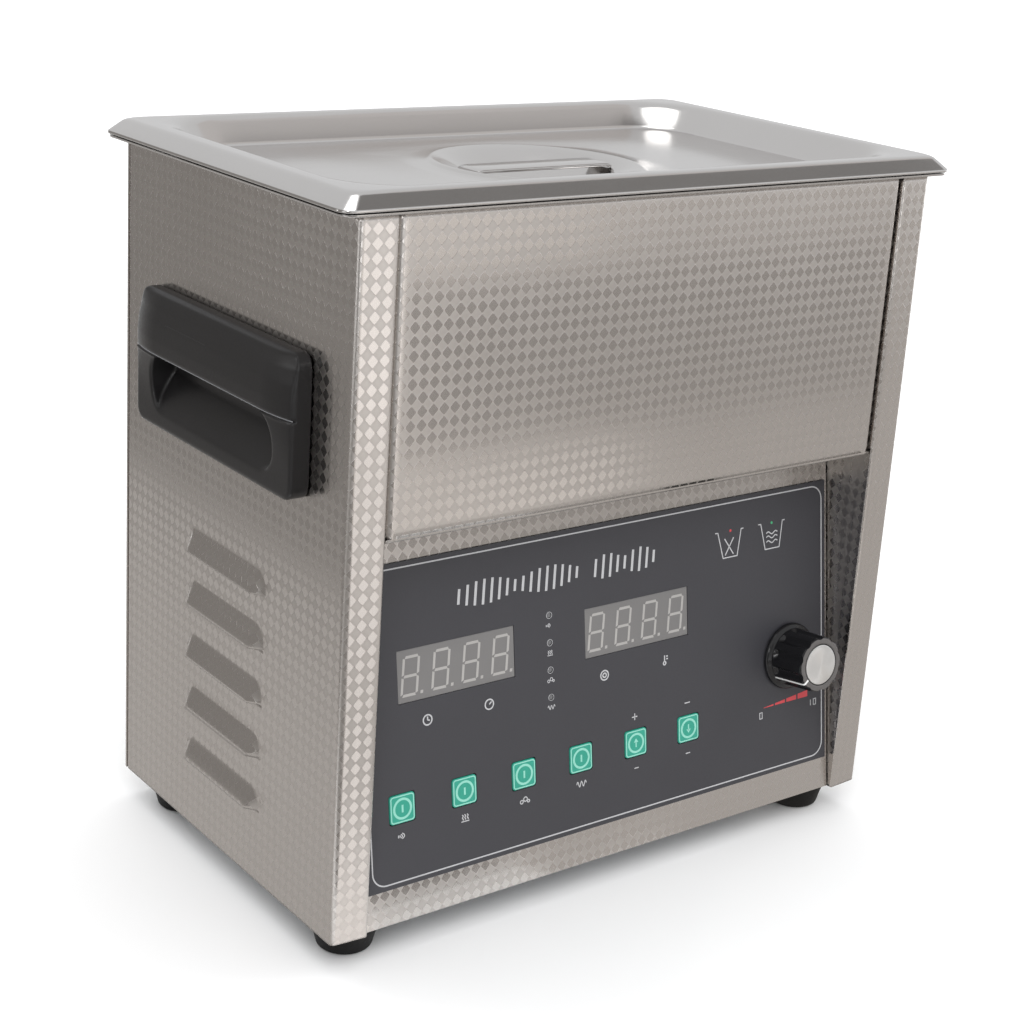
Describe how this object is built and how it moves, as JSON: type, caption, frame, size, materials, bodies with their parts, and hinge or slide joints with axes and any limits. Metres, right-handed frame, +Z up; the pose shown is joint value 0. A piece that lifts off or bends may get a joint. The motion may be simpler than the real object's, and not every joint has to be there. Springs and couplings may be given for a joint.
{
  "type": "ultrasonic cleaner",
  "caption": "Bench-top heated ultrasonic bath in embossed stainless steel with lid, basket, side grips, tilted keypad with displays and a power knob.",
  "frame": {"origin": "on the table, under the middle of the cleaner", "axes": "+X to the right as seen from the front, +Y to the back, +Z up; the control panel faces -Y"},
  "size_m": [0.2694, 0.1738, 0.2672],
  "materials": {
    "embossed_steel": "stainless sheet rolled with a fine diamond emboss",
    "drawn_steel": "bright satin stainless",
    "zinc_steel": "zinc plated",
    "aluminium": "machined",
    "black_plastic": "fine moulded grain",
    "gloss_black": "glossy",
    "rubber": "matte",
    "film": "printed polyester, satin",
    "key_green": "printed polyester, satin",
    "display": "grey potted face with pale segments",
    "lamp": "clear smoked lens",
    "board": "solder mask",
    "piezo": "fired, silvered faces",
    "silicone": "matte",
    "ferrite": "matte"
  },
  "bodies": {
    "housing": {"left_side_panel": "embossed_steel", "right_side_panel": "embossed_steel", "back_panel": "embossed_steel", "front_upper_panel": "embossed_steel", "base_plate": "embossed_steel", "control_panel_plate": "embossed_steel", "handle_left": "black_plastic", "handle_right": "black_plastic", "fan_frame": "black_plastic", "foot_front_left": "rubber", "foot_front_right": "rubber", "foot_rear_left": "rubber", "foot_rear_right": "rubber", "foot_screw_front_left": "zinc_steel", "foot_screw_front_right": "zinc_steel", "foot_screw_rear_left": "zinc_steel", "foot_screw_rear_right": "zinc_steel", "tank": "drawn_steel", "transducer_horn_left": "aluminium", "piezo_stack_left": "piezo", "back_mass_left": "zinc_steel", "transducer_bolt_left": "zinc_steel", "transducer_horn_right": "aluminium", "piezo_stack_right": "piezo", "back_mass_right": "zinc_steel", "transducer_bolt_right": "zinc_steel", "heater_pad": "silicone", "temperature_sensor": "zinc_steel", "potentiometer": "zinc_steel", "overlay_film": "film", "display_board": "board", "generator_board": "board", "timer_display": "display", "temperature_display": "display", "lamp_1": "lamp", "lamp_2": "lamp", "lamp_3": "lamp", "lamp_4": "lamp", "inlet_socket": "gloss_black", "rocker_housing": "gloss_black", "fuse_holder": "gloss_black", "fuse_cap": "gloss_black", "heat_sink": "aluminium", "output_transformer": "ferrite"},
    "basket": {"basket": "drawn_steel", "basket_handle_left": "drawn_steel", "basket_handle_right": "drawn_steel"},
    "lid": {"lid_pan": "drawn_steel", "lid_strap": "drawn_steel"},
    "knob": {"knob": "gloss_black", "knob_cap": "aluminium", "potentiometer_shaft": "aluminium"},
    "rocker": {"rocker": "gloss_black"},
    "fan_rotor": {"fan_rotor": "black_plastic"},
    "key_ultrasonic": {"key_ultrasonic": "key_green"},
    "key_heater": {"key_heater": "key_green"},
    "key_degas": {"key_degas": "key_green"},
    "key_sweep": {"key_sweep": "key_green"},
    "key_increase": {"key_increase": "key_green"},
    "key_decrease": {"key_decrease": "key_green"}
  },
  "joints": [
    {"name": "basket_lift", "type": "slide", "parent": "housing", "child": "basket", "axis": [0, 0, 1], "range_m": [0, 0.13]},
    {"name": "lid_lift", "type": "slide", "parent": "basket", "child": "lid", "axis": [0, 0, 1], "range_m": [0, 0.15]},
    {"name": "knob_turn", "type": "hinge", "parent": "housing", "child": "knob", "pos_m": [0.0884, -0.0674, 0.0707], "axis": [0, 0.9882, -0.1532], "range_deg": [0, 300]},
    {"name": "key_ultrasonic_press", "type": "slide", "parent": "housing", "child": "key_ultrasonic", "axis": [0, 0.9882, -0.1532], "range_m": [0, 0.0006], "stiffness_N_per_m": 500, "springref_m": -0.0005},
    {"name": "key_heater_press", "type": "slide", "parent": "housing", "child": "key_heater", "axis": [0, 0.9882, -0.1532], "range_m": [0, 0.0006], "stiffness_N_per_m": 500, "springref_m": -0.0005},
    {"name": "key_degas_press", "type": "slide", "parent": "housing", "child": "key_degas", "axis": [0, 0.9882, -0.1532], "range_m": [0, 0.0006], "stiffness_N_per_m": 500, "springref_m": -0.0005},
    {"name": "key_sweep_press", "type": "slide", "parent": "housing", "child": "key_sweep", "axis": [0, 0.9882, -0.1532], "range_m": [0, 0.0006], "stiffness_N_per_m": 500, "springref_m": -0.0005},
    {"name": "key_increase_press", "type": "slide", "parent": "housing", "child": "key_increase", "axis": [0, 0.9882, -0.1532], "range_m": [0, 0.0006], "stiffness_N_per_m": 500, "springref_m": -0.0005},
    {"name": "key_decrease_press", "type": "slide", "parent": "housing", "child": "key_decrease", "axis": [0, 0.9882, -0.1532], "range_m": [0, 0.0006], "stiffness_N_per_m": 500, "springref_m": -0.0005},
    {"name": "rocker_tilt", "type": "hinge", "parent": "housing", "child": "rocker", "pos_m": [0.04, 0.0775, 0.048], "axis": [1, 0, 0], "range_deg": [0, 16]},
    {"name": "fan_spin", "type": "hinge", "parent": "housing", "child": "fan_rotor", "pos_m": [-0.068, 0.07, 0.064], "axis": [0, 1, 0], "continuous": true}
  ]
}
